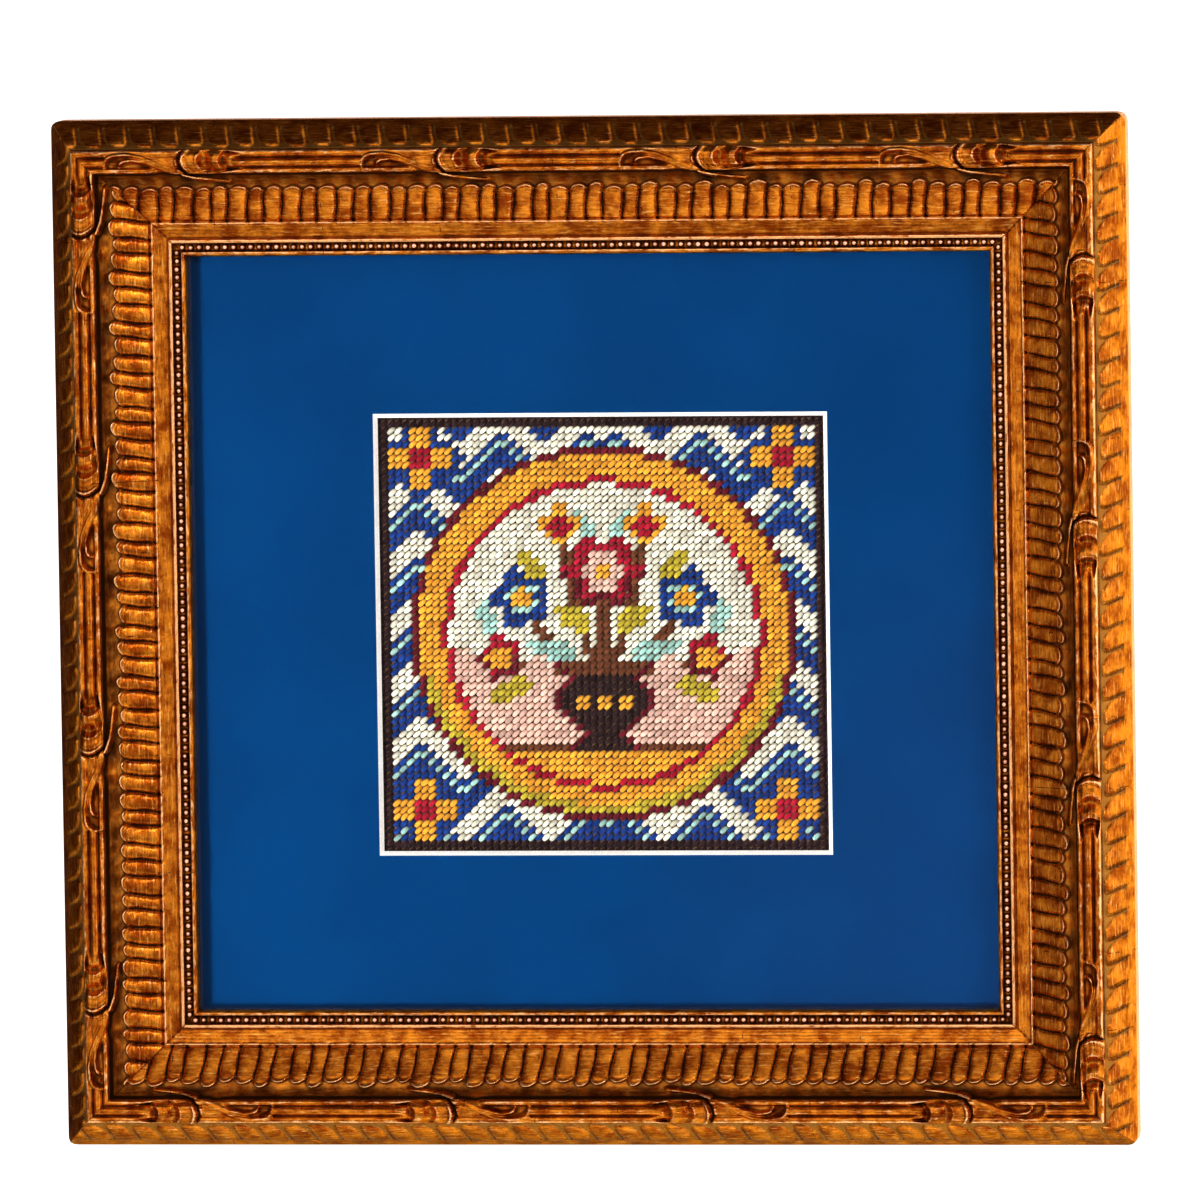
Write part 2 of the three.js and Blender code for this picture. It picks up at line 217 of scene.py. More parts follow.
# The leaf scroll, in millimetres from its tip and in from the frame's outer edge
OUTER_RIM = ((0.0, 0.8, 2.0, 3.5, 7.9, 13.3, 18.7, 23.6, 26.3, 32.2, 38.6, 46.0, 52.0),
             (15.6, 13.2, 12.0, 11.5, 11.2, 12.0, 14.2, 16.6, 18.0, 19.7, 20.5, 21.2, 21.6))
INNER_RIM = ((5.0, 5.8, 7.2, 10.6, 16.0, 21.4, 26.3, 30.0),
             (15.6, 14.4, 13.6, 13.2, 14.3, 16.2, 17.8, 18.8))
HUSK_MIDDLE = 13.7
HUSK_TOPS = ((25.6, 26.7, 27.4, 28.4, 29.6, 31.6, 33.4, 35.4, 37.6, 39.8, 41.2, 43.0, 45.0, 48.0),
             (29.4, 28.7, 30.6, 31.9, 31.0, 31.2, 31.1, 29.9, 30.4, 31.5, 30.9, 29.9, 30.4, 30.2))
HUSK_WIDTHS = ((26.0, 29.0, 33.0, 36.0, 39.5, 42.5, 48.0), (3.8, 4.5, 4.1, 3.8, 4.2, 3.8, 2.9))
HUSK_RIMS = ((28.3, 0.9, 0.9), (30.7, 0.3, 2.2), (33.3, 0.8, 0.8), (41.2, 0.9, 1.2))
HUSK_CUPS = ((36.0, 1.8, 1.6), (42.9, 1.5, 1.5))


def ridge_top(x):
    """How high the scroll's outer rim stands, sinking as it runs on into the cove."""
    return 31.2 - 1.6 * smooth(x, 14, 27) - 5.0 * smooth(x, 26, 37) - 2.2 * smooth(x, 37, 52)


def husks(s, x):
    """Three husks in a chain. Their tops follow a profile along x, bent like a bracket by
    2.2 v^2, v the share of the way from the middle to the side, and fall by 2.9 |v|^2.6 to the
    sides. Rims stand at the mouths, each strongest to one side, and round cups lie behind two
    of them. Also returns where the husks lie."""
    v = (s - HUSK_MIDDLE) / np.interp(x, *HUSK_WIDTHS)
    bent = x - 2.2 * v ** 2 - 0.5 * v
    tops = np.interp(bent, *HUSK_TOPS) + 0.1 * np.cos(2 * np.pi * (s - HUSK_MIDDLE) / 2.1)
    for place, rise, lean in HUSK_RIMS:
        tops = tops + rise * bell(bent, place, 0.55) * bell(s, HUSK_MIDDLE - 1.2 + lean, 3.4)
    for place, reach, depth in HUSK_CUPS:
        tops = tops - depth * bell(bent, place, reach) * bell(s, HUSK_MIDDLE - 0.7, 3.4)
    crown = tops - 2.9 * np.abs(v) ** 2.6
    share = (1 - smooth(np.abs(v), 0.92, 1.12)) * smooth(bent, 25.9, 26.9)
    return crown, share * (1 - smooth(bent, 45.0, 48.0))


def leaf_scroll(s, x, height):
    """Lays one leaf scroll over the reeds, x from its tip. Two rims follow curves, each a rise
    exp(-(d / w)^2) over a hollow leaf that is deepest inside the curl; then the husks."""
    on_leaf = smooth(x, -0.2, 1.4) * (1 - smooth(x, 25.0, 26.5))
    inside = curve_distance(x, s, *OUTER_RIM)
    keeps_inner_reed = smooth(s, 15.9, 16.5) * (1 - smooth(x, 15.0, 21.0))
    leaf = smooth(inside, -1.5, -0.6) * on_leaf * (1 - keeps_inner_reed)
    hollow = 29.4 - 0.03 * np.clip(x, 0, 30) - 0.7 * smooth(inside, 0.3, 2.2)
    hollow = hollow - 1.0 * bell(x, 3.4, 1.9) * bell(s, 14.4, 1.6)
    edge_fall = 3.2 * smooth(s, 17.3, 18.6)
    height = height * (1 - leaf) + (hollow - edge_fall) * leaf
    back = smooth(x, 9, 15) * (1 - smooth(x, 25.0, 26.5)) * smooth(s, 12.0, 12.9)
    back = back * (1 - smooth(inside, -1.4, -0.6))
    height = height * (1 - back) + (28.9 + 0.03 * x) * back
    along = smooth(x, -0.6, 0.6) * (1 - smooth(x, 44.0, 53.0))
    rim = bell(inside, 0, 0.8 + 0.3 * smooth(x, 6, 22)) * along
    height = np.maximum(height, height * (1 - rim) + ridge_top(x) * rim)
    second = curve_distance(x, s, *INNER_RIM)
    fold = bell(second, 0, 0.7 + 0.45 * smooth(x, 7, 17)) * smooth(x, 4.6, 6.2)
    fold = fold * (1 - smooth(x, 24.0, 28.0))
    height = np.maximum(height, height * (1 - fold) + (31.0 - 1.4 * smooth(x, 12, 27)) * fold)
    crown, share = husks(s, x)
    return height * (1 - share) + np.maximum(crown, 25.5) * share


def cove(s):
    """The hollow between crest and flutes: 21.2 + 8 (1 - sqrt(1 - u^2)), u from 0 at its
    foot to 1 under the crest."""
    u = np.clip(COVE_FOOT - s, 0, 5.25) / 5.3
    return 21.2 + 8 * (1 - np.sqrt(1 - u * u))


def crest(s, t, rail):
    """The crest from 9.5 to 18.4 mm in: a step up, the reeds, a fall to the cove, and the leaf
    scrolls laid over them."""
    rise = smooth(s, 9.45, 9.95)
    height = 26.2 + (reeds(s) - 26.2) * rise
    fall = cove(s) + 2.4 * (1 - smooth(s, 17.9, 18.5))
    height = np.where(s < 18.0, height, np.minimum(height, fall)) + 0.0 * t
    for i in range(SCROLLS):
        x = t - rail.first_scroll - i * SCROLL_PITCH
        columns = np.nonzero(((x > -3) & (x < 56)).any(axis=0))[0]
        if len(columns):
            part = slice(columns[0], columns[-1] + 1)
            height[:, part] = leaf_scroll(s, x[:, part], height[:, part])
    return height


def tails(s, t, rail):
    """The scrolls' tails where they run on into the cove, as a ridge along the outer rim."""
    ridge = np.zeros(np.broadcast(s, t).shape)
    for i in range(SCROLLS):
        x = t - rail.first_scroll - i * SCROLL_PITCH
        d = curve_distance(x, s, *OUTER_RIM)
        along = smooth(x, 24.0, 28.0) * (1 - smooth(x, 44.0, 53.0))
        ridge = np.maximum(ridge, (21.0 + (ridge_top(x) - 21.0) * bell(d, 0, 1.15)) * along)
    return ridge


def flute_cells(s, t, rail):
    """The flute that each point lies in, and where across it, from -1 to 1. The grooves stand
    at i step + 0.5 sin(2.4 i), lean along the rail by 0.14 (35.6 - s), and waver a little."""
    count = round(rail.length / rail.flute)
    number = np.arange(-2, count + 3)
    lines = number * (rail.length / count) + FLUTE_WOBBLE * np.sin(2.4 * number)
    upright = t - FLUTE_SLANT * np.clip(35.6 - s, 0, 13) + 0.2 * np.sin(0.55 * s + 0.31 * t)
    place = np.clip(np.searchsorted(lines, upright) - 1, 0, len(lines) - 2)
    width = lines[place + 1] - lines[place]
    return number[place], 2 * (upright - lines[place]) / width - 1


def flutes(s, t, rail):
    """Flutes with arched tips: a crown 16 + 7.6 ((36 - s) / 12)^1.15 that leans by 0.2 c,
    rounds off by 0.7 c^2 and drops 1.5 mm into narrow grooves past |c| = 0.76, with a rim along
    the far half of each tip. Also returns where they have begun and where dust lies, in front
    of the tips."""
    cell, across = flute_cells(s, t, rail)
    side = np.abs(across)
    reach = COVE_FOOT - 0.9 * (cell % 3 == 0) + 0.45 * np.sin(4.3 * cell)
    arch = reach + 2.9 * (1 - np.sqrt(np.clip(1 - side ** 2.2, 0, 1))) - 0.35 * across
    crown = 16 + 7.6 * (np.clip(FLUTES_END - s, 0, None) / 12) ** 1.15 + 0.2 * np.sin(2.9 * cell)
    groove = smooth(side, 0.76, 1.0) * (1 - 0.45 * smooth(s, 33, 36))
    body = crown + 0.2 * across - 0.7 * across ** 2 - 1.5 * groove
    rim = smooth(across, -0.5, 0.5) * bell(s, arch + 0.5, 0.42)
    body = body + 0.5 * rim - 0.3 * bell(s, arch + 1.6, 0.6)
    end = smooth(s, 35.0, 35.9) * (0.55 + 0.5 * side ** 4)
    begun = smooth(s, arch - 0.15, arch + 0.35)
    dust = (1 - begun) * smooth(s, 20.5, 22.5)
    return body - end, begun, dust


FILLET_S = (36.0, 36.35, 36.9, 37.3, 41.7, 42.0, 42.3, 42.6, 43.4, 43.65, 43.9, 44.4, 45.2, 46.0,
            46.5, 46.8, 47.05, 47.6, 48.0, 48.5)
FILLET_H = (14.9, 15.8, 15.7, 14.9, 14.3, 13.9, 15.0, 15.5, 15.5, 15.2, 13.3, 12.8, 12.65, 12.8,
            13.2, 14.2, 14.5, 14.5, 14.2, 13.4)


def fillets(s, t, rail):
    """The plain inner bands: a section of straight runs, nicked where each groove ends and
    drawn with fine lines 1.15 mm apart."""
    across = flute_cells(s, t, rail)[1]
    nick = 0.8 * np.abs(across) ** 10 * (smooth(s, 35.8, 36.2) - smooth(s, 36.9, 37.3))
    lines = 0.07 * np.cos(2 * np.pi * (s - 37.6) / 1.15) * smooth(s, 37.3, 37.8)
    return np.interp(s, FILLET_S, FILLET_H) - nick + lines * (1 - smooth(s, 41.0, 41.6))


def relief(s, t, rail):
    """The height and the dust of the whole front, from a column of s and a grid of t. The
    flutes stand on ground that falls away under them, and all but the inner bands waver."""
    edge, web_dust = gadroon_edge(s, t, rail)
    height = np.where(s < EDGE_END, edge, crest(s, t, rail))
    hollow = np.maximum(cove(s), tails(s, t, rail) * (s < COVE_FOOT))
    base = np.where(s < CREST_END, height, hollow)
    ground = base - 0.26 * np.clip(s - COVE_FOOT, 0, None) - 1.2 * np.clip(s - 26, 0, None)
    body, begun, tip_dust = flutes(s, t, rail)
    fluted = ground * (1 - begun) + np.maximum(body, ground) * begun
    height = np.where(s < 21.5, base, np.where(s < FLUTES_END, fluted, fillets(s, t, rail)))
    by_tips = (s > CREST_END) & (s < 30)
    dust = np.where(s < EDGE_END, web_dust, np.where(by_tips, 0.3 * tip_dust, 0))
    uneven = 0.11 * ripple(s, t, WAVE_SEED) * smooth(s, 0.0, 2.0) * (1 - smooth(s, 41.0, 42.0))
    return height + uneven, dust


def spans(*parts):
    """Values from runs of (start, end, count), each run's end left to the next one."""
    return np.concatenate([np.linspace(a, b, n, endpoint=False) for a, b, n in parts])


# A rail's rows: fine ones on the relief, which keep every column, and coarse ones elsewhere,
# which keep every fourth; then the back and the outer side as (inset, height)
COLUMN_PITCH = 0.46
COARSE = 4
FINE_ROWS = spans((0, 0.4, 2), (0.4, 1.6, 3), (1.6, 9.4, 19), (9.4, 10.2, 5), (10.2, 18.0, 28),
                  (18.0, 18.6, 3), (18.6, 22.2, 8), (22.2, 27.0, 19), (27.0, 35.2, 9),
                  (35.2, 37.4, 8))
COARSE_ROWS = np.concatenate([spans((37.4, 41.7, 12)), FILLET_S[4:]])
BEHIND = ((RAIL_WIDTH, 11.5), (RAIL_WIDTH, RABBET_DEPTH), (45.5, RABBET_DEPTH),
          (RABBET_INSET, RABBET_DEPTH), (RABBET_INSET, 4.7), (RABBET_INSET, 0.0), (28.0, 0.0),
          (14.0, 0.0))
SIDE = ((0.0, 0.0), (0.0, 3.4), (0.0, 6.8))
SIDE_DEPTH = 0.3

# What counts as near when the pale rubbed edges, partly painted highlight, and the dark hollows,
# partly painted shade, are worked out, in columns each way along the rail and millimetres across
# it. By the outer edge, where the mean is one-sided, nothing counts as sunk.
SMALL_RIDGES, LARGE_HOLLOWS = (3, 1.1), (9, 3.6)
NEAR_EDGE = 2.4

# Ridges given a painted highlight, with some rubbed gilt, or a line of painted shade if the last
# number is negative: place, half width and how much
RIDGE_HIGHLIGHTS_AND_SHADE = ((18.1, 0.6, -1.0), (36.6, 0.4, 0.9), (43.0, 0.5, 0.7), (47.3, 0.4, 0.5))


def height_over_mean(height, s, columns_each_way, reach):
    """How far a point stands above the mean of its neighbours, in millimetres: a box mean along
    the rail, then a mean across it weighted exp(-(distance / reach)^2)."""
    width = 2 * columns_each_way + 1
    padded = np.pad(height, ((0, 0), (columns_each_way, columns_each_way)), mode="edge")
    sums = np.cumsum(np.pad(padded, ((0, 0), (1, 0))), axis=1)
    along = (sums[:, width:] - sums[:, :-width]) / width
    weights = bell(s[:, None], s[None, :], reach) * np.gradient(s)[None, :]
    weights /= weights.sum(axis=1, keepdims=True)
    return height - weights @ along


def merge_strip(a, b, c, d):
    """Quads a-b-c-d with a, d on one row and b, c on the next, made triangles or dropped where
    a row's neighbours are one point."""
    quads = np.stack([a, b, c, d], axis=-1).reshape(-1, 4)
    same_first, same_next = quads[:, 0] == quads[:, 3], quads[:, 1] == quads[:, 2]
    return (quads[~same_first & ~same_next],
            np.concatenate([quads[same_first & ~same_next][:, [0, 1, 2]],
                            quads[~same_first & same_next][:, [0, 1, 3]]]))


def fine_to_coarse(fine, coarse, flipped):
    """Triangles between a row of every column and a row of every fourth one."""
    f = [fine[k:len(fine) - COARSE + k:COARSE] for k in range(COARSE + 1)]
    c0, c1 = coarse[0:len(coarse) - COARSE:COARSE], coarse[COARSE::COARSE]
    fans = np.concatenate([np.stack(each, axis=-1) for each in (
        (f[0], c0, f[1]), (f[1], c0, f[2]), (f[2], c0, c1), (f[2], c1, f[3]), (f[3], c1, f[4]))])
    fans = fans[:, ::-1] if flipped else fans
    whole = (fans[:, 0] != fans[:, 1]) & (fans[:, 1] != fans[:, 2]) & (fans[:, 0] != fans[:, 2])
    return fans[whole]


def round_corners(points):
    """Pulls points outside the frame's rounded outline in to it, towards the corner's centre."""
    x, z = points[:, 0], points[:, 2] - CENTRE_Z
    cx, cz = FRAME_WIDTH / 2 - CORNER_RADIUS, FRAME_HEIGHT / 2 - CORNER_RADIUS
    dx, dz = np.abs(x) - cx, np.abs(z) - cz
    away = np.hypot(dx, dz)
    outside = (dx > 0) & (dz > 0) & (away > CORNER_RADIUS)
    pull = np.where(outside, CORNER_RADIUS / np.maximum(away, 1e-9), 1.0)
    points[:, 0] = np.where(outside, np.sign(x) * (cx + dx * pull), x)
    points[:, 2] = np.where(outside, np.sign(z) * (cz + dz * pull), z) + CENTRE_Z
    return points


def build_rail(name, rail, gilt, wood):
    """One mitred rail as a closed surface of rows round the section and columns along the rail.
    A column's t is held between the mitres s + gap and length - s - gap, and every row keeps
    one point where the mitre cuts it, so that the ends close in one flat face each."""
    front = np.concatenate([FINE_ROWS, COARSE_ROWS])
    n_side, n_fine = len(SIDE), len(FINE_ROWS)
    rows, shown = n_side + len(front) + len(BEHIND), slice(n_side, n_side + len(front))
    s = np.concatenate([[p[0] for p in SIDE], front, [p[0] for p in BEHIND]])
    columns = COARSE * round(rail.length / COLUMN_PITCH / COARSE) + 1
    grid = np.linspace(0, rail.length, columns)
    low, high = s + MITRE_GAP, rail.length - s - MITRE_GAP
    t = np.clip(grid[None, :], low[:, None], high[:, None])
    height, raised, deep, dust = np.zeros((4, rows, columns))
    height[:n_side] = np.array([p[1] for p in SIDE])[:, None]
    height[shown.stop:] = np.array([p[1] for p in BEHIND])[:, None]
    height[shown], dust[shown] = relief(front[:, None], t[shown], rail)
    # raised drives pale rubbed edges, partly wear and partly painted highlight; deep and low raised
    # drive dark hollows, partly patina and partly painted shade.
    raised[shown] = height_over_mean(height[shown], front, *SMALL_RIDGES)
    deep[shown] = height_over_mean(height[shown], front, *LARGE_HOLLOWS)
    # Painted highlights along the fillet ridges and painted shade along the crest's inner edge.
    for middle, width, extra in RIDGE_HIGHLIGHTS_AND_SHADE:
        raised[shown] += extra * bell(front, middle, width)[:, None]
    near_edge = slice(n_side, n_side + np.count_nonzero(front < NEAR_EDGE))
    raised[near_edge] = np.maximum(raised[near_edge], 0)
    deep[near_edge] = np.maximum(deep[near_edge], 0)
    deep[:n_side] = SIDE_DEPTH

    coarse = np.ones(rows, bool)
    coarse[n_side:n_side + n_fine] = False
    step = np.where(coarse, COARSE, 1)
    begins = (np.floor(low / grid[1] / step) * step).astype(int)
    ends = (np.ceil(high / grid[1] / step - 1e-9) * step).astype(int)
    index = np.arange(columns)[None, :]
    row_starts = columns * np.arange(rows)
    kept = np.clip(index, begins[:, None], ends[:, None]) + row_starts[:, None]

    quads, triangles = [], []
    coarse_uppers = np.concatenate([np.arange(0, n_side - 1), np.arange(n_side + n_fine, rows)])
    for upper, every in ((np.arange(n_side, n_side + n_fine - 1), 1), (coarse_uppers, COARSE)):
        here, there = kept[upper][:, ::every], kept[(upper + 1) % rows][:, ::every]
        strip, extra = merge_strip(here[:, :-1], there[:, :-1], there[:, 1:], here[:, 1:])
        quads.append(strip)
        triangles.append(extra)
    triangles.append(fine_to_coarse(kept[n_side + n_fine - 1], kept[n_side + n_fine], False))
    triangles.append(fine_to_coarse(kept[n_side], kept[n_side - 1], True))
    left_end, right_end = (begins + row_starts)[None, ::-1], (ends + row_starts)[None, :]

    arc = np.concatenate([[0], np.cumsum(np.hypot(np.diff(s), np.diff(height.mean(axis=1))))])
    points = to_side(t, np.broadcast_to(s[:, None], t.shape), height, rail)
    points = round_corners(points.reshape(-1, 3))
    faces = [np.concatenate(quads), np.concatenate(triangles), left_end, right_end]
    used = np.unique(np.concatenate([f.ravel() for f in faces]))
    renumber = np.full(rows * columns, -1)
    renumber[used] = np.arange(len(used))
    faces = [renumber[f] for f in faces]
    row_of = np.repeat(np.arange(rows), columns)[used]
    bare = row_of > shown.stop
    slots = [bare[f].all(axis=1).astype(int) for f in faces]
    slots[2][:], slots[3][:] = 1, 1
    for k in range(2):
        face_rows = row_of[faces[k]]
        over_the_back = (face_rows.max(axis=1) > rows - 2) & (face_rows.min(axis=1) == 0)
        slots[k][over_the_back] = 1
    piece = make_piece(f"gilded_rail_{name}", points[used], faces, [gilt, wood], slots)
    give_values(piece, "raised", raised.ravel()[used])
    give_values(piece, "deep", deep.ravel()[used])
    give_values(piece, "dust", dust.ravel()[used])
    give_map(piece, np.stack([t.ravel(), np.repeat(arc, columns)], axis=-1)[used] * MM)
    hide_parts(f"frame_rail_{name}")
    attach(piece, "root")


# The beads

def round_bead(sides=8, rings=5):
    """A bead: rings of points on a ball a little longer along the rail, and its faces."""
    lat = np.linspace(-np.pi / 2, np.pi / 2, rings + 2)[1:-1]
    lon = np.arange(sides) * 2 * np.pi / sides
    ball = np.concatenate([
        [[0, 0, -1]],
        np.stack([np.outer(np.cos(lat), np.cos(lon)).ravel(),
                  np.outer(np.cos(lat), np.sin(lon)).ravel(),
                  np.outer(np.sin(lat), np.ones(sides)).ravel()], axis=-1),
        [[0, 0, 1]],
    ]) * (1.08, 1.0, 1.0) * BEAD_RADIUS
    ring, after = 1 + np.arange(sides), 1 + (np.arange(sides) + 1) % sides
    quads = np.concatenate([np.stack([ring, after, after + sides, ring + sides], -1) + r * sides
                            for r in range(rings - 1)])
    last = (rings - 1) * sides
    fans = np.concatenate([
        np.stack([np.zeros(sides, int), after, ring], -1),
        np.stack([np.full(sides, last + sides + 1), last + ring, last + after], -1),
    ])
    return ball, quads, fans


def build_beads(name, rail, gilt):
    """The bead course: round beads set in the groove, each a little uneven in size and place."""
    ball, quads, fans = round_bead()
    start, end = BEAD_INSET + 0.5, rail.length - BEAD_INSET - 0.5
    count = round((end - start) / rail.bead)
    rng = np.random.default_rng(BEAD_SEED + rail.turns)
    middle = start + (np.arange(count) + 0.5) * (end - start) / count + rng.normal(0, 0.06, count)
    size = 1 + rng.normal(0, 0.05, count)
    many = ball[None] * size[:, None, None]
    t = middle[:, None] + many[..., 0]
    s = BEAD_INSET + rng.normal(0, 0.05, count)[:, None] + many[..., 1]
    h = BEAD_HEIGHT + rng.normal(0, 0.08, count)[:, None] + many[..., 2]
    offset = (np.arange(count) * len(ball))[:, None, None]
    faces = [(quads[None] + offset).reshape(-1, 4), (fans[None] + offset).reshape(-1, 3)]
    piece = make_piece(f"bead_course_{name}", to_side(t, s, h, rail).reshape(-1, 3), faces, [gilt])
    # How far forward each point of a bead stands, for its painted shade below and painted highlight
    # on top.
    give_values(piece, "raised", np.tile(ball[:, 2] / BEAD_RADIUS, count))
    give_values(piece, "tone", np.repeat(rng.uniform(0, 1, count), len(ball)))
    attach(piece, "root")


# The mat and the canvas

def rectangle_ring(profile, width, height, x, z):
    """A profile of (inset, height) points carried round a rectangle, mitred at its corners."""
    corners = np.array([(-1, -1), (1, -1), (1, 1), (-1, 1)])
    inset, out = np.array(profile).T
    px = x + corners[None, :, 0] * (width / 2 - inset[:, None])
    pz = z + corners[None, :, 1] * (height / 2 - inset[:, None]) + CENTRE_Z
    py = np.broadcast_to(-out[:, None], px.shape)
    return np.stack([px, py, pz], -1)


def build_mat(paper, core):
    """The mat: its outer edge is centred in the frame and its window a little off centre, so
    the front and the back are faces between two rectangles. The window's edge slopes at 45
    degrees through the white core, with a soft burr where the knife went in."""
    outer = [rectangle_ring([(0, h)], MAT_WIDTH, MAT_HEIGHT, 0, 0)[0] for h in (MAT_BACK, MAT_FRONT)]
    deep = MAT_FRONT - MAT_BACK
    profile = [(-0.12, MAT_FRONT), (-0.04, MAT_FRONT - 0.02), (0.04, MAT_FRONT - 0.08),
               (deep * 0.5, MAT_BACK + deep * 0.5), (deep - 0.04, MAT_BACK + 0.05), (deep, MAT_BACK)]
    inner = rectangle_ring(profile, WINDOW_WIDTH, WINDOW_HEIGHT, WINDOW_X, WINDOW_Z)
    points = np.concatenate([[outer[0]], [outer[1]], inner])
    rows = len(points)
    here = np.arange(rows)[:, None] * 4 + np.arange(4)[None]
    there = np.roll(here, -1, axis=0)
    quads = np.stack([here, np.roll(here, -1, 1), np.roll(there, -1, 1), there], -1)
    slots = np.ones((rows, 4), int)
    slots[1:3] = 0
    piece = make_piece("window_mat", points.reshape(-1, 3), [quads.reshape(-1, 4)], [paper, core],
                       [slots.ravel()], shade_smooth=False)
    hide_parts("mat_board")
    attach(piece, "root")


def build_canvas(linen):
    """The canvas ground: a thin sheet of 60 by 60 squares that sags 0.1 mm between its edges,
    as two layers joined round the rim."""
    n = 61
    u, v = np.meshgrid(np.linspace(-1, 1, n), np.linspace(-1, 1, n), indexing="ij")
    x = WINDOW_X + u * CANVAS_WIDTH / 2
    z = WINDOW_Z + v * CANVAS_HEIGHT / 2 + CENTRE_Z
    sag = 0.1 * (1 - u ** 2) * (1 - v ** 2)
    front = np.stack([x, -(CANVAS_FRONT - sag), z], -1)
    back = np.stack([x, np.full_like(x, -CANVAS_BACK), z], -1)
    k = np.arange(n * n).reshape(n, n)
    quads = np.stack([k[:-1, :-1], k[1:, :-1], k[1:, 1:], k[:-1, 1:]], -1).reshape(-1, 4)
    rim = np.concatenate([k[:-1, 0], k[-1, :-1], k[:0:-1, -1], k[0, :0:-1]])
    after = np.roll(rim, -1)
    sides = np.stack([after, rim, rim + n * n, after + n * n], -1)
    faces = np.concatenate([quads, quads[:, ::-1] + n * n, sides])
    return make_piece("canvas_ground", np.concatenate([front.reshape(-1, 3), back.reshape(-1, 3)]),
                      [faces], [linen], shade_smooth=False)


# The stitched design

YARNS = ["dark_brown", "royal_blue", "cream", "gold", "crimson", "pale_pink", "aqua", "olive",
         "dark_red", "mid_brown"]
BROWN, BLUE, CREAM, GOLD, CRIMSON, PINK, AQUA, OLIVE, DARK_RED, MID_BROWN = range(10)

# In stitches from the middle. Stems: bend, half width and top. Leaves: middle, half axes, turn and
# yarn. Flowers: middle, size, petals, outer and inner yarn.
STEMS = ((0.0, 0.7, 8), (11.5, 0.8, 4), (5.6, 0.7, 14), (14.5, 0.8, -4))
LEAVES = (
    (4.2, 2.2, 3.0, 1.5, 0.7, OLIVE), (7.2, -2.2, 3.4, 1.5, 0.25, AQUA),
    (9.8, 9.6, 2.8, 1.4, 1.0, OLIVE), (13.2, -8.2, 3.2, 1.4, -0.5, OLIVE),
    (2.8, 15.6, 2.4, 1.2, 0.9, AQUA), (16.2, 2.0, 1.2, 2.8, -0.3, AQUA),
)
FLOWERS = (
    (0.0, 9.0, 5.0, 6, CRIMSON, PINK), (11.5, 5.2, 3.9, 5, BLUE, AQUA),
    (6.0, 15.6, 2.7, 4, GOLD, CRIMSON), (14.6, -3.4, 3.0, 5, CRIMSON, GOLD),
)
URN_Y = (-17, -16, -15, -13.6, -10.5, -7.6, -6.4, -5.4, -4.6)
URN_HALF_WIDTH = (4.4, 4.4, 1.7, 3.2, 6.0, 5.4, 3.6, 5.4, 5.8)
MEDALLION, GOLD_RIM, BORDER = 21.6, 26.3, 30.2
CORNER_FLOWER = 25.5


def inside_ellipse(x, y, cx, cy, rx, ry, turn):
    """True inside an ellipse of half axes rx and ry about (cx, cy), turned by an angle."""
    c, n = math.cos(turn), math.sin(turn)
    u, v = (x - cx) * c + (y - cy) * n, (y - cy) * c - (x - cx) * n
    return (u / rx) ** 2 + (v / ry) ** 2 <= 1


def chart():
    """The design as one yarn number a stitch, 64 by 64, drawn from simple shapes: a flame-stitch
    field, a round medallion with a shaded rim, and an urn of flowers, the same on both sides."""
    y, x = np.mgrid[0:STITCHES, 0:STITCHES].astype(float)
    x, y = x - (STITCHES - 1) / 2, (STITCHES - 1) / 2 - y
    side = np.abs(x)
    flame = (y + np.abs((side + 4) % 12 - 6) + 60) % 9
    yarn = np.where(flame < 3.8, CREAM, BLUE)
    yarn = np.where((flame >= 6.2) & (flame < 7.1), AQUA, yarn)
    for cy in (CORNER_FLOWER, -CORNER_FLOWER):
        away = np.hypot(side - CORNER_FLOWER, y - cy)
        petal = 3.7 + 1.3 * np.cos(4 * np.arctan2(y - cy, side - CORNER_FLOWER))
        for reach, colour_of in ((petal + 1.2, BLUE), (petal, GOLD), (1.8, CRIMSON)):
            yarn = np.where(away < reach, colour_of, yarn)
    away = np.hypot(x, y)
    for reach, colour_of in ((27.2, DARK_RED), (GOLD_RIM, GOLD)):
        yarn = np.where(away < reach, colour_of, yarn)
    yarn = np.where((away < GOLD_RIM) & (away > 24.9) & (y < 4 - side * 0.4), OLIVE, yarn)
    for reach, colour_of in ((22.6, CRIMSON), (MEDALLION, CREAM)):
        yarn = np.where(away < reach, colour_of, yarn)

    def put(where, colour_of):
        """Works one yarn where it is asked for, inside the medallion only."""
        nonlocal yarn
        yarn = np.where(where & (away < MEDALLION), colour_of, yarn)

    put(y < -4 - 2 * np.cos(side * 0.45), PINK)
    put(y < -15.5, GOLD)
    put((y < -15.5) & (y > -17), MID_BROWN)
    for bend, reach, top in STEMS:
        path = bend * np.clip((y + 6) / (top + 6), 0, 1) ** 0.6
        put((np.abs(side - path) < reach) & (y > -6) & (y < top), MID_BROWN)
    for *leaf, colour_of in LEAVES:
        put(inside_ellipse(side, y, *leaf), colour_of)
    for cx, cy, size, petals, outer, inner in FLOWERS:
        edge = size * (1 + 0.16 * np.cos(petals * np.arctan2(y - cy, side - cx)))
        from_flower = np.hypot(side - cx, y - cy)
        put(from_flower < edge, outer)
        if outer == CRIMSON:
            put((from_flower < edge) & (from_flower > edge - 1.1) & (y < cy), DARK_RED)
        put(from_flower < edge * 0.55, inner)
        put(from_flower < 1.3, CRIMSON if outer == GOLD else GOLD)
    wide = np.interp(y, URN_Y, URN_HALF_WIDTH)
    urn = (y > -17.2) & (y < -4.2)
    put(urn & (side < wide + 1.0), DARK_RED)
    put(urn & (side < wide), BROWN)
    put(urn & (side < wide - 0.6) & (np.abs(y + 9.8) < 0.8) & ((side + 1) % 3 < 1.6), GOLD)
    put(urn & (side < wide) & (y > -5.6), MID_BROWN)
    return np.where(np.maximum(side, np.abs(y)) > BORDER, BROWN, yarn)


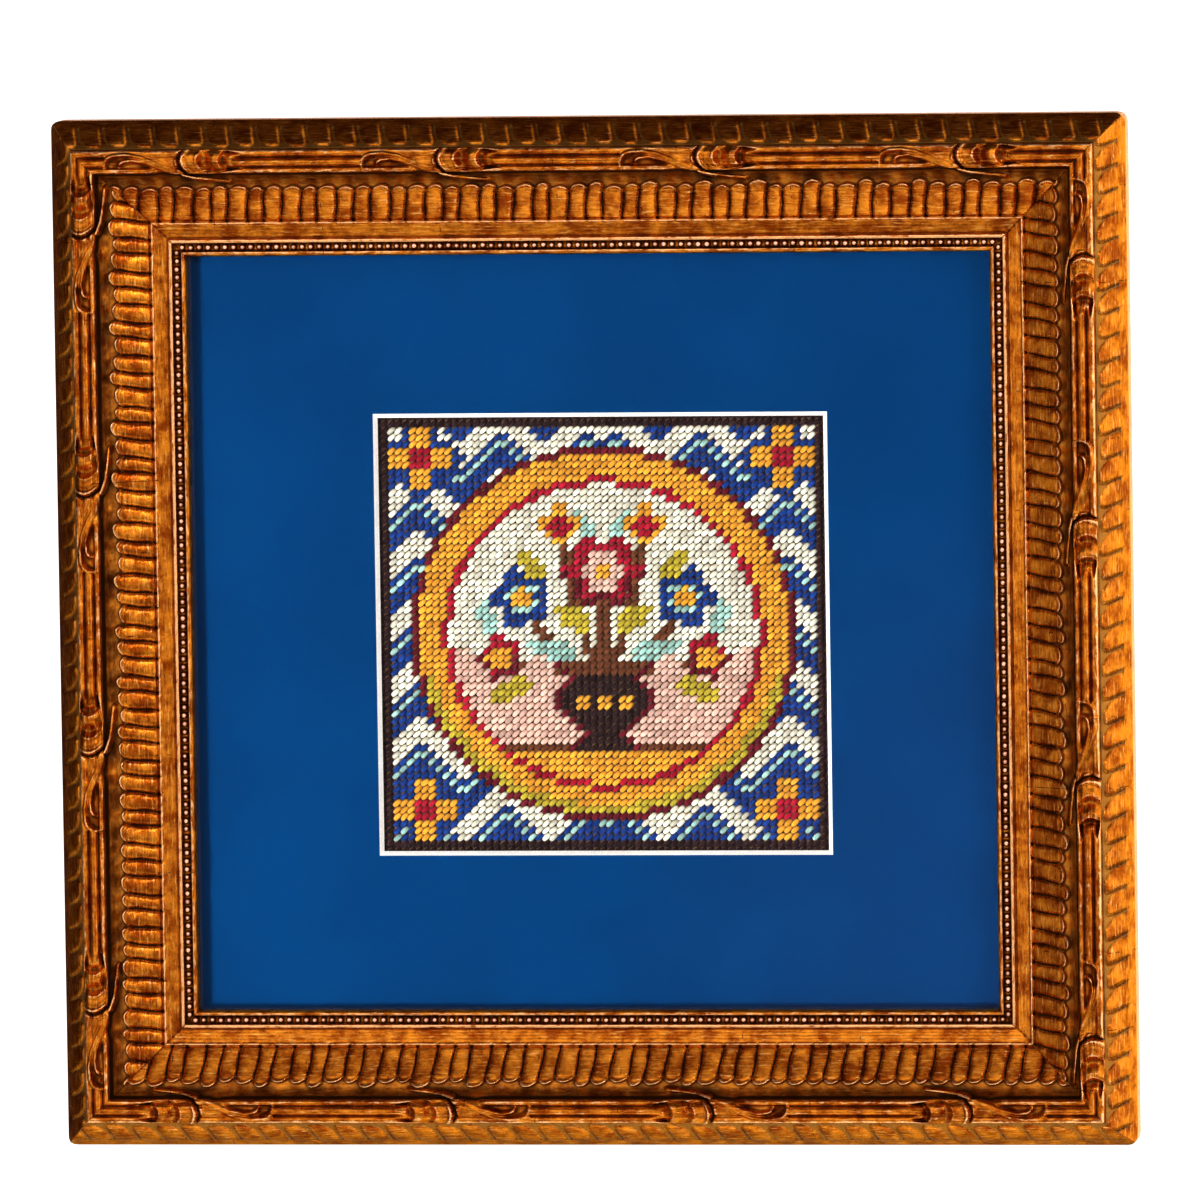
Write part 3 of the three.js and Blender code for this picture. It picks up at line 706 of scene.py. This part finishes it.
def stitch_shape():
    """One tent stitch lying along x: a closed lozenge of yarn, rings along it of points round
    it. Its half width goes from 0.42 at the ends to 0.96 mm in the middle, and its middle line
    arches by 0.5 (1 - along^2) over its foot. Returns points, side faces, end faces and a map."""
    half_length, foot, arch = 1.7, 3.58, 0.5
    along = np.array([-1.0, -0.7, 0.0, 0.7, 1.0])
    half = np.array([0.42, 0.82, 0.96, 0.82, 0.42])
    thick = np.array([0.30, 0.54, 0.66, 0.54, 0.30])
    angle = np.array([-0.55, 0.42, 1.18, 1.96, 2.72, 3.69])
    rings, sides = len(along), len(angle)
    lift = foot + arch * (1 - along ** 2)
    points = np.stack([
        half_length * along[:, None] * np.ones(sides),
        half[:, None] * np.cos(angle),
        lift[:, None] + thick[:, None] * np.sin(angle),
    ], -1).reshape(-1, 3)
    r, q = np.meshgrid(np.arange(rings - 1), np.arange(sides), indexing="ij")
    after = (q + 1) % sides
    quads = np.stack([r * sides + q, r * sides + after, (r + 1) * sides + after,
                      (r + 1) * sides + q], -1).reshape(-1, 4)
    ends = np.stack([np.arange(sides)[::-1], (rings - 1) * sides + np.arange(sides)])
    wrap = np.stack([points[:, 0], np.tile(angle, rings)], -1)
    return points, quads, ends, wrap


def build_stitches(materials):
    """The tent stitches: each slants from its cell's lower left to its upper right, a little
    uneven in lean, width, place and shade. One piece a yarn."""
    base, quads, ends, wrap = stitch_shape()
    yarn = chart()
    rng = np.random.default_rng(STITCH_SEED)
    lean = STITCH_LEAN + rng.normal(0, 0.05, yarn.shape)
    wide = 1 + rng.normal(0, 0.05, yarn.shape)
    shift = rng.normal(0, 0.055, (3,) + yarn.shape)
    tone = rng.normal(0.5, 0.17, yarn.shape)
    down, right = np.mgrid[0:STITCHES, 0:STITCHES]
    cx = WINDOW_X + (right - (STITCHES - 1) / 2) * STITCH_X
    cz = WINDOW_Z + ((STITCHES - 1) / 2 - down) * STITCH_Z + CENTRE_Z
    pieces = []
    for number, name in enumerate(YARNS):
        here = yarn == number
        count = here.sum()
        c, n = np.cos(lean[here])[:, None], np.sin(lean[here])[:, None]
        u, v = base[:, 0][None], base[:, 1][None] * wide[here][:, None]
        px = cx[here][:, None] + u * c - v * n + shift[0][here][:, None]
        pz = cz[here][:, None] + u * n + v * c + shift[1][here][:, None]
        ph = np.clip(base[:, 2][None] + shift[2][here][:, None], STITCH_LOW, STITCH_HIGH)
        offset = (np.arange(count) * len(base))[:, None, None]
        piece = make_piece(
            f"stitches_{name}", np.stack([px, -ph, pz], -1).reshape(-1, 3),
            [(quads[None] + offset).reshape(-1, 4),
             (ends[None] + offset).reshape(-1, ends.shape[1])], [materials[name]])
        give_values(piece, "tone", np.repeat(tone[here], len(base)))
        # How far the yarn stands forward, for the painted shade in its creases.
        give_values(piece, "proud", np.tile(smooth(base[:, 2], 3.45, 4.35), count))
        give_map(piece, np.tile(wrap, (count, 1)))
        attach(piece, "root")
        pieces.append(piece)
    return pieces


# Finishes

def colour(red, green, blue):
    """A colour given in screen values from 0 to 255, as the light values that shaders take."""
    v = np.array([red, green, blue]) / 255
    return (*np.where(v <= 0.04045, v / 12.92, ((v + 0.055) / 1.055) ** 2.4), 1.0)


class Finish:
    """The node tree of a material, or of the world, being put together."""

    def __init__(self, owner):
        owner.use_nodes = True
        self.owner = owner
        self.tree = owner.node_tree
        self.tree.nodes.clear()

    def node(self, kind, settings=None, inputs=None):
        """Adds a node. An input given as a socket is joined, and any other value is set."""
        made = self.tree.nodes.new(kind)
        for key, value in (settings or {}).items():
            setattr(made, key, value)
        for key, value in (inputs or {}).items():
            if isinstance(value, bpy.types.NodeSocket):
                self.tree.links.new(value, made.inputs[key])
            else:
                made.inputs[key].default_value = value
        return made

    def value_of(self, name):
        """The number stored on each point under a name."""
        return self.node("ShaderNodeAttribute", {"attribute_name": name}).outputs["Fac"]

    def place(self, kind, scale=(1, 1, 1)):
        """Object or UV coordinates stretched by a scale for each direction."""
        where = self.node("ShaderNodeTexCoord").outputs[kind]
        return self.node("ShaderNodeMapping", inputs={"Vector": where, "Scale": scale}).outputs[0]

    def noise(self, vector, scale, detail=3.0, roughness=0.55):
        """Cloudy noise of about 0.3 to 0.7."""
        return self.node("ShaderNodeTexNoise", inputs={
            "Vector": vector, "Scale": scale, "Detail": detail, "Roughness": roughness,
        }).outputs[0]

    def mottling(self, scale, detail=3.0, roughness=0.55, stretch=(1, 1, 1)):
        """Cloudy noise through the piece."""
        return self.noise(self.place("Object", stretch), scale, detail, roughness)

    def streaks(self, along, across, detail=3.0, roughness=0.55):
        """Cloudy noise on the piece's map, as fine along it and across it as the numbers say."""
        return self.noise(self.place("UV", (along, across, 1)), 1.0, detail, roughness)

    def spread(self, value, low, high, to_low=0.0, to_high=1.0):
        """Maps low..high to to_low..to_high, held at the ends."""
        return self.node("ShaderNodeMapRange", {"interpolation_type": "SMOOTHSTEP"}, {
            "Value": value, "From Min": low, "From Max": high, "To Min": to_low, "To Max": to_high,
        }).outputs[0]

    def maths(self, kind, a, b):
        """One sum on two values, such as MAXIMUM."""
        return self.node("ShaderNodeMath", {"operation": kind}, {0: a, 1: b}).outputs[0]

    def add(self, a, b):
        """One value and another."""
        return self.maths("ADD", a, b)

    def times(self, a, b):
        """One value by another."""
        return self.maths("MULTIPLY", a, b)

    def swing(self, value, amount):
        """A noise value turned into one that swings by amount each way about nought."""
        return self.times(self.maths("SUBTRACT", value, 0.5), amount)

    def blend(self, share, a, b):
        """The colour a, going over to b as the share goes from 0 to 1."""
        return self.node("ShaderNodeMix", {"data_type": "RGBA"}, {0: share, 6: a, 7: b}).outputs[2]

    def bump(self, height, strength, distance):
        """A surface normal from a height."""
        return self.node("ShaderNodeBump", inputs={
            "Height": height, "Strength": strength, "Distance": distance}).outputs[0]

    def done(self, **inputs):
        """Joins one Principled shader to the output and returns the material."""
        named = {key.replace("_", " "): value for key, value in inputs.items()}
        shader = self.node("ShaderNodeBsdfPrincipled", inputs=named)
        self.node("ShaderNodeOutputMaterial", inputs={"Surface": shader.outputs[0]})
        return self.owner


def new_finish(name):
    """An empty material to put together."""
    return Finish(bpy.data.materials.new(name))


def gilt_finish():
    """Old gold over brown: nearly black where it lies deep, partly patina and partly painted shade,
    and rubbed bright on what stands proud, partly wear and partly painted highlight, with brush
    strokes and streaks along the rail, hairline cracks across it, and tan dust on the webs and
    before the flutes. The dark hollows and the dust make it rougher and less metallic."""
    f = new_finish("gilt_wear_and_highlight")
    raised, deep, dust = f.value_of("raised"), f.value_of("deep"), f.value_of("dust")
    stroke = f.streaks(170, 1050, 3.0, 0.6)
    cloud = f.mottling(130.0, 5.0, 0.65)
    lump = f.mottling(420.0, 2.0)
    speck = f.mottling(1300.0, 2.0)
    tone = f.blend(f.spread(cloud, 0.34, 0.66), colour(150, 70, 5), colour(222, 142, 42))
    tone = f.blend(f.spread(stroke, 0.53, 0.74, 0.0, 0.6), tone, colour(255, 200, 112))
    tone = f.blend(f.spread(stroke, 0.28, 0.47, 0.6, 0.0), tone, colour(98, 38, 3))
    # The dark of hollows and grooves below: partly patina, partly painted shade.
    sunk = f.add(deep, f.add(f.swing(cloud, 0.8), f.swing(lump, 0.6)))
    patina_and_shade = f.maths("MAXIMUM", f.spread(sunk, -2.5, -0.7, 1.0, 0.0),
                    f.spread(raised, -0.95, -0.15, 1.0, 0.0))
    tone = f.blend(patina_and_shade, tone, colour(48, 18, 3))
    # Pale rubbed edges on what stands proud: partly wear, partly painted highlight.
    wear_and_painted_light = f.add(raised, f.add(f.swing(stroke, 2.2), f.swing(lump, 1.8)))
    tone = f.blend(f.spread(wear_and_painted_light, 0.5, 1.3, 0.0, 0.85), tone, colour(255, 206, 150))
    along = f.node("ShaderNodeSeparateXYZ", inputs={0: f.place("UV")}).outputs[0]
    edge = f.node("ShaderNodeTexVoronoi",
                  {"voronoi_dimensions": "1D", "feature": "DISTANCE_TO_EDGE"},
                  {"W": along, "Scale": 34.0}).outputs["Distance"]
    broken = f.spread(f.streaks(60, 300, 2.0), 0.54, 0.6)
    crack = f.times(f.spread(edge, 0.003, 0.008, 1.0, 0.0), broken)
    tone = f.blend(f.times(crack, 0.8), tone, colour(46, 12, 2))
    powder = f.times(dust, f.spread(speck, 0.25, 0.6, 0.5, 1.0))
    tone = f.blend(powder, tone, colour(166, 118, 52))
    dull = f.maths("MAXIMUM", f.times(patina_and_shade, 0.8), f.times(powder, 0.35))
    rough = f.add(f.spread(stroke, 0.3, 0.7, 0.2, 0.34), f.times(dull, 0.4))
    grain = f.add(f.add(f.times(stroke, 0.35), lump), f.times(speck, 0.25))
    return f.done(Base_Color=tone, Metallic=f.spread(dull, 0.0, 1.0, 0.96, 0.4),
                  Roughness=rough, Normal=f.bump(grain, 0.5, 0.0004),
                  Specular_Tint=colour(255, 220, 170), Specular_IOR_Level=0.3, Coat_Weight=0.05,
                  Coat_Roughness=0.14)


def bead_finish():
    """The same gilt on the beads: painted shade where they sink in, a pale painted highlight on top,
    and each a little brighter or duller than the next."""
    f = new_finish("gilt_beads_shade_and_highlight")
    raised, tone_of = f.value_of("raised"), f.value_of("tone")
    speck = f.mottling(1400.0, 2.0)
    wear_and_painted_light = f.add(raised, f.swing(tone_of, 0.12))
    # Painted shade towards the bead's foot and a pale painted highlight on its front.
    tone = f.blend(f.spread(wear_and_painted_light, 0.2, 0.8), colour(34, 8, 1), colour(140, 66, 14))
    tone = f.blend(f.spread(wear_and_painted_light, 0.72, 0.98), tone, colour(255, 214, 184))
    return f.done(Base_Color=tone, Metallic=0.85, Roughness=f.spread(speck, 0.3, 0.7, 0.26, 0.38),
                  Specular_IOR_Level=0.3, Coat_Weight=0.1, Coat_Roughness=0.12)


def wood_finish():
    """Bare pine on the back and in the rabbet, its grain along the rail."""
    f = new_finish("bare_pine")
    ring = f.streaks(9, 420, 4.0, 0.6)
    pore = f.streaks(120, 3200, 2.0)
    tone = f.blend(f.spread(ring, 0.3, 0.7), colour(150, 112, 70), colour(196, 158, 108))
    tone = f.blend(f.spread(pore, 0.55, 0.8, 0.0, 0.5), tone, colour(96, 66, 38))
    return f.done(Base_Color=tone, Roughness=f.spread(pore, 0.3, 0.7, 0.6, 0.8),
                  Normal=f.bump(f.add(ring, pore), 0.3, 0.0002))


def paper_finish():
    """The mat's blue paper: a fine fibrous tooth and a faint clouding of the dye."""
    f = new_finish("blue_mat_paper")
    tooth = f.mottling(2600.0, 3.0, 0.7)
    fibre = f.mottling(900.0, 2.0, stretch=(1, 1, 2.5))
    cloud = f.mottling(14.0, 3.0)
    tone = f.blend(f.spread(cloud, 0.3, 0.7), colour(0, 64, 112), colour(0, 70, 120))
    tone = f.blend(f.spread(tooth, 0.35, 0.75, 0.0, 0.3), tone, colour(0, 84, 134))
    return f.done(Base_Color=tone, Roughness=f.spread(tooth, 0.3, 0.7, 0.82, 0.95),
                  Normal=f.bump(f.add(tooth, fibre), 0.2, 0.00008),
                  Specular_IOR_Level=0.02)


def core_finish():
    """The mat's white core, cut through and a little furry."""
    f = new_finish("white_mat_core")
    fur = f.mottling(1800.0, 4.0, 0.7)
    tone = f.blend(f.spread(fur, 0.3, 0.75), colour(252, 250, 246), colour(236, 232, 224))
    return f.done(Base_Color=tone, Roughness=f.spread(fur, 0.3, 0.7, 0.8, 0.95),
                  Normal=f.bump(fur, 0.25, 0.0001))


def yarn_finish(name, base):
    """Tapestry wool: two plies twisted together that slant across each stitch, with painted shade
    between them, fine fibres, a shade that changes from stitch to stitch, and painted shade in the
    creases where stitches meet."""
    f = new_finish(f"wool_{name}")
    tone_of, proud = f.value_of("tone"), f.value_of("proud")
    where = f.place("UV", (1.1, 0.9, 1))
    ply = f.node("ShaderNodeTexWave", {"wave_type": "BANDS", "bands_direction": "DIAGONAL"}, {
        "Vector": where, "Scale": 0.55, "Distortion": 1.2, "Detail": 2.0, "Detail Scale": 3.0,
    }).outputs[1]
    fibre = f.mottling(3600.0, 3.0, 0.7)
    dark, deep = (tuple(share * c for c in base[:3]) + (1.0,) for share in (0.62, 0.16))
    light = tuple(min(1.0, 1.15 * c + 0.008) for c in base[:3]) + (1.0,)
    tone = f.blend(f.spread(tone_of, 0.1, 0.9), dark, light)
    # Painted shade between the plies.
    tone = f.blend(f.spread(ply, 0.1, 0.6, 0.3, 0.0), tone, dark)
    tone = f.blend(f.spread(fibre, 0.45, 0.8, 0.0, 0.25), tone, light)
    # Painted shade low in the creases between stitches.
    tone = f.blend(f.spread(proud, 0.0, 0.55, 0.9, 0.0), tone, deep)
    return f.done(Base_Color=tone, Roughness=f.spread(fibre, 0.2, 0.8, 0.72, 0.92),
                  Sheen_Weight=0.08, Sheen_Roughness=0.5, Specular_IOR_Level=0.3,
                  Normal=f.bump(f.add(ply, fibre), 0.35, 0.00012))


def canvas_finish():
    """Stiff brown mono canvas: an open weave of single threads at the stitches' spacing, with
    painted shade, nearly black, in the openings between them.
    """
    f = new_finish("mono_canvas")
    where = f.place("Object")
    warp, weft = (f.node("ShaderNodeTexWave", {"wave_type": "BANDS", "bands_direction": way}, {
        "Vector": where, "Scale": 2 * math.pi / 20 / (pitch * MM), "Distortion": 0.3,
        "Detail": 1.0}).outputs[1] for way, pitch in (("X", STITCH_X), ("Z", STITCH_Z)))
    thread = f.maths("MAXIMUM", warp, weft)
    # Painted shade in the openings between the threads.
    tone = f.blend(f.spread(thread, 0.3, 0.7), colour(38, 28, 20), colour(128, 100, 66))
    return f.done(Base_Color=tone, Roughness=f.spread(thread, 0.2, 0.8, 0.95, 0.8),
                  Normal=f.bump(thread, 0.6, 0.0004))


def board_finish():
    """The backing board's brown kraft paper, with flecks and a faint grain."""
    f = new_finish("kraft_board")
    fleck = f.mottling(700.0, 4.0, 0.7)
    grain = f.mottling(60.0, 3.0, stretch=(1, 1, 14))
    tone = f.blend(f.spread(grain, 0.3, 0.7), colour(150, 116, 76), colour(170, 134, 92))
    tone = f.blend(f.spread(fleck, 0.6, 0.8, 0.0, 0.6), tone, colour(104, 76, 46))
    return f.done(Base_Color=tone, Roughness=f.spread(fleck, 0.3, 0.7, 0.75, 0.92),
                  Normal=f.bump(fleck, 0.2, 0.0001))


def glass_finish():
    """Picture glass: clear, with a trace of dust in its gloss. Lamps' light goes straight
    through it."""
    f = new_finish("picture_glass")
    smear = f.mottling(22.0, 3.0)
    glass = f.node("ShaderNodeBsdfPrincipled", inputs={
        "Base Color": (0.98, 0.99, 0.99, 1), "Transmission Weight": 1.0, "IOR": 1.5,
        "Roughness": f.spread(smear, 0.4, 0.8, 0.0, 0.02)})
    clear = f.node("ShaderNodeBsdfTransparent")
    path = f.node("ShaderNodeLightPath")
    mixed = f.node("ShaderNodeMixShader", inputs={
        0: path.outputs["Is Shadow Ray"], 1: glass.outputs[0], 2: clear.outputs[0]})
    f.node("ShaderNodeOutputMaterial", inputs={"Surface": mixed.outputs[0]})
    return f.owner


def floor_finish():
    """A pale matte floor, faintly mottled."""
    f = new_finish("pale_floor")
    mottle = f.mottling(3.0, 3.0)
    tone = f.blend(f.spread(mottle, 0.3, 0.7), colour(242, 241, 238), colour(250, 249, 247))
    return f.done(Base_Color=tone, Roughness=0.9)


YARN_COLOURS = {
    "dark_brown": (52, 26, 28), "royal_blue": (10, 66, 142), "cream": (246, 240, 222),
    "gold": (246, 178, 62), "crimson": (178, 18, 54), "pale_pink": (238, 200, 184),
    "aqua": (176, 214, 204), "olive": (200, 182, 62), "dark_red": (118, 16, 40),
    "mid_brown": (122, 70, 40),
}


# The picture put together

gilt, wood, bead_gilt = gilt_finish(), wood_finish(), bead_finish()
for side_name, side in RAILS.items():
    build_rail(side_name, side, gilt, wood)
    build_beads(side_name, side, bead_gilt)

build_mat(paper_finish(), core_finish())
wools = {name: yarn_finish(name, colour(*rgb)) for name, rgb in YARN_COLOURS.items()}
stitches = build_stitches(wools)
canvas = build_canvas(canvas_finish())
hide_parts("needlepoint_canvas")
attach(canvas, "root")

for node_name, finish in (("glazing", glass_finish()), ("backing_board", board_finish())):
    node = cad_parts[node_name]
    node.data.materials.clear()
    node.data.materials.append(finish)


# Floor, light and camera

CENTRE = Vector((0, -0.015, CENTRE_Z * MM))
FLOOR_Z, FLOOR_RADIUS, FLOOR_SIDES = -1.5, 4.0, 64
YAW, RISE, ROLL, AWAY = math.radians(8), math.radians(4.5), math.radians(-0.866), 6.0
LENS, AIM_RIGHT, AIM_UP = 506.3, 3.07 * MM, 11.78 * MM

# The studio's softer areas: the way each lies, the cosine where it begins and its brightness
SOFT_AREAS = (
    ((-0.75, -0.65, 0.0), 0.6, 0.45), ((0.1, -0.75, 0.65), 0.6, 0.6), ((0, -1, 0), 0.5, 0.6),
    ((0, -0.6, -0.8), 0.6, 0.45), ((0.1, 1, 0.05), 0.9, 0.7),
)
CARD_EDGE, CARD_MIDDLE, GLOW_EDGE = (math.cos(math.radians(turn)) for turn in (7, 3.5, 1.7))
WHITE, REDDISH, DIM = (1, 1, 1, 1), (1, 0.35, 0.6, 1), 0.045


def build_floor():
    """A pale round floor well below the picture, which hangs at eye height."""
    around = np.linspace(0, 2 * np.pi, FLOOR_SIDES, endpoint=False)
    points = np.stack([FLOOR_RADIUS * np.cos(around), FLOOR_RADIUS * np.sin(around),
                       np.full(FLOOR_SIDES, FLOOR_Z)], -1) / MM
    make_piece("floor", points, [np.arange(FLOOR_SIDES)[None]], [floor_finish()])


def add_softbox(name, offset, size, watts, target=(0, 0, 0), mirrored=True):
    """A square soft light at an offset from the picture's middle, facing a target that is given
    from there too. Glossy surfaces mirror it or not."""
    light = bpy.data.lights.new(name, "AREA")
    light.shape, light.size, light.energy = "SQUARE", size, watts
    lamp = bpy.data.objects.new(name, light)
    lamp.visible_glossy = mirrored
    lamp.location = CENTRE + Vector(offset)
    lamp.rotation_euler = (Vector(target) - Vector(offset)).to_track_quat("-Z", "Y").to_euler()
    bpy.context.scene.collection.objects.link(lamp)


def add_camera():
    """The photograph's view: 8 degrees from the right, 4.5 from above, turned 0.87 degrees."""
    back = Vector((math.sin(YAW) * math.cos(RISE), -math.cos(YAW) * math.cos(RISE),
                   math.sin(RISE)))
    level = Vector((math.cos(YAW), math.sin(YAW), 0))
    right = math.cos(ROLL) * level + math.sin(ROLL) * back.cross(level)
    up = back.cross(right)
    data = bpy.data.cameras.new("camera")
    data.sensor_width, data.lens = 36.0, LENS
    data.clip_start, data.clip_end = 0.1, 50
    camera = bpy.data.objects.new("camera", data)
    camera.matrix_world = Matrix((right, up, back)).transposed().to_4x4()
    camera.location = CENTRE + back * AWAY + right * AIM_RIGHT + up * AIM_UP
    bpy.context.scene.collection.objects.link(camera)
    bpy.context.scene.camera = camera
    return camera.location


def light_world(seen_from):
    """White behind the picture. What lights it is a studio that is brightest to the right, with
    softer areas in front, above, below, to the left and behind, and nearly dark elsewhere. A
    black card stands where the glass would mirror it, with a faint reddish glow, and mirrored
    rays alone see a dim reddish light all round."""
    f = Finish(bpy.data.worlds.new("studio"))
    way = f.node("ShaderNodeTexCoord").outputs["Generated"]

    def towards(direction):
        """How nearly a ray goes that way, as a cosine."""
        return f.node("ShaderNodeVectorMath", {"operation": "DOT_PRODUCT"},
                      {0: way, 1: Vector(direction).normalized()}).outputs["Value"]

    def mirrored(x, z):
        """The way that the glass at (x, z) shows to the photograph's viewpoint."""
        out = (seen_from - Vector((x, 0, z))).normalized()
        return Vector((-out.x, out.y, -out.z))

    def lamp(colour_of, strength):
        """Light of one colour."""
        return f.node("ShaderNodeBackground", inputs={0: colour_of, 1: strength}).outputs[0]

    strength = f.spread(towards((0.85, 0.4, -0.3)), 0.05, 0.8, 0.04, 1.3)
    for middle, edge, share in SOFT_AREAS:
        strength = f.add(strength, f.spread(towards(middle), edge, 0.98, 0.0, share))
    card = f.spread(towards(mirrored(0, CENTRE.z)), CARD_EDGE, CARD_MIDDLE, 1.0, 0.02)
    glow = f.spread(towards(mirrored(0.17, -0.27)), GLOW_EDGE, 1.0, 0.0, 0.08)
    path = f.node("ShaderNodeLightPath")
    mirrored_only = f.times(path.outputs["Is Glossy Ray"], DIM)
    lit = f.node("ShaderNodeAddShader", inputs={
        0: lamp(WHITE, f.times(strength, card)),
        1: lamp(REDDISH, f.add(glow, mirrored_only))}).outputs[0]
    mixed = f.node("ShaderNodeMixShader", inputs={
        0: path.outputs["Is Camera Ray"], 1: lit, 2: lamp(WHITE, 1.0)})
    f.node("ShaderNodeOutputWorld", inputs={0: mixed.outputs[0]})
    bpy.context.scene.world = f.owner


build_floor()
add_softbox("key_light", (-1.27, -1.72, -0.64), size=0.3, watts=18, mirrored=False)
add_softbox("side_light", (1.7, -1.3, 0.5), size=0.15, watts=3.5)
add_softbox("floor_light", (0.4, -0.2, -0.6), size=1.2, watts=9, target=(0.4, -0.2, -1.3))
light_world(add_camera())
view = bpy.context.scene.view_settings
view.view_transform, view.exposure, view.gamma = "Standard", 0.34, 0.8
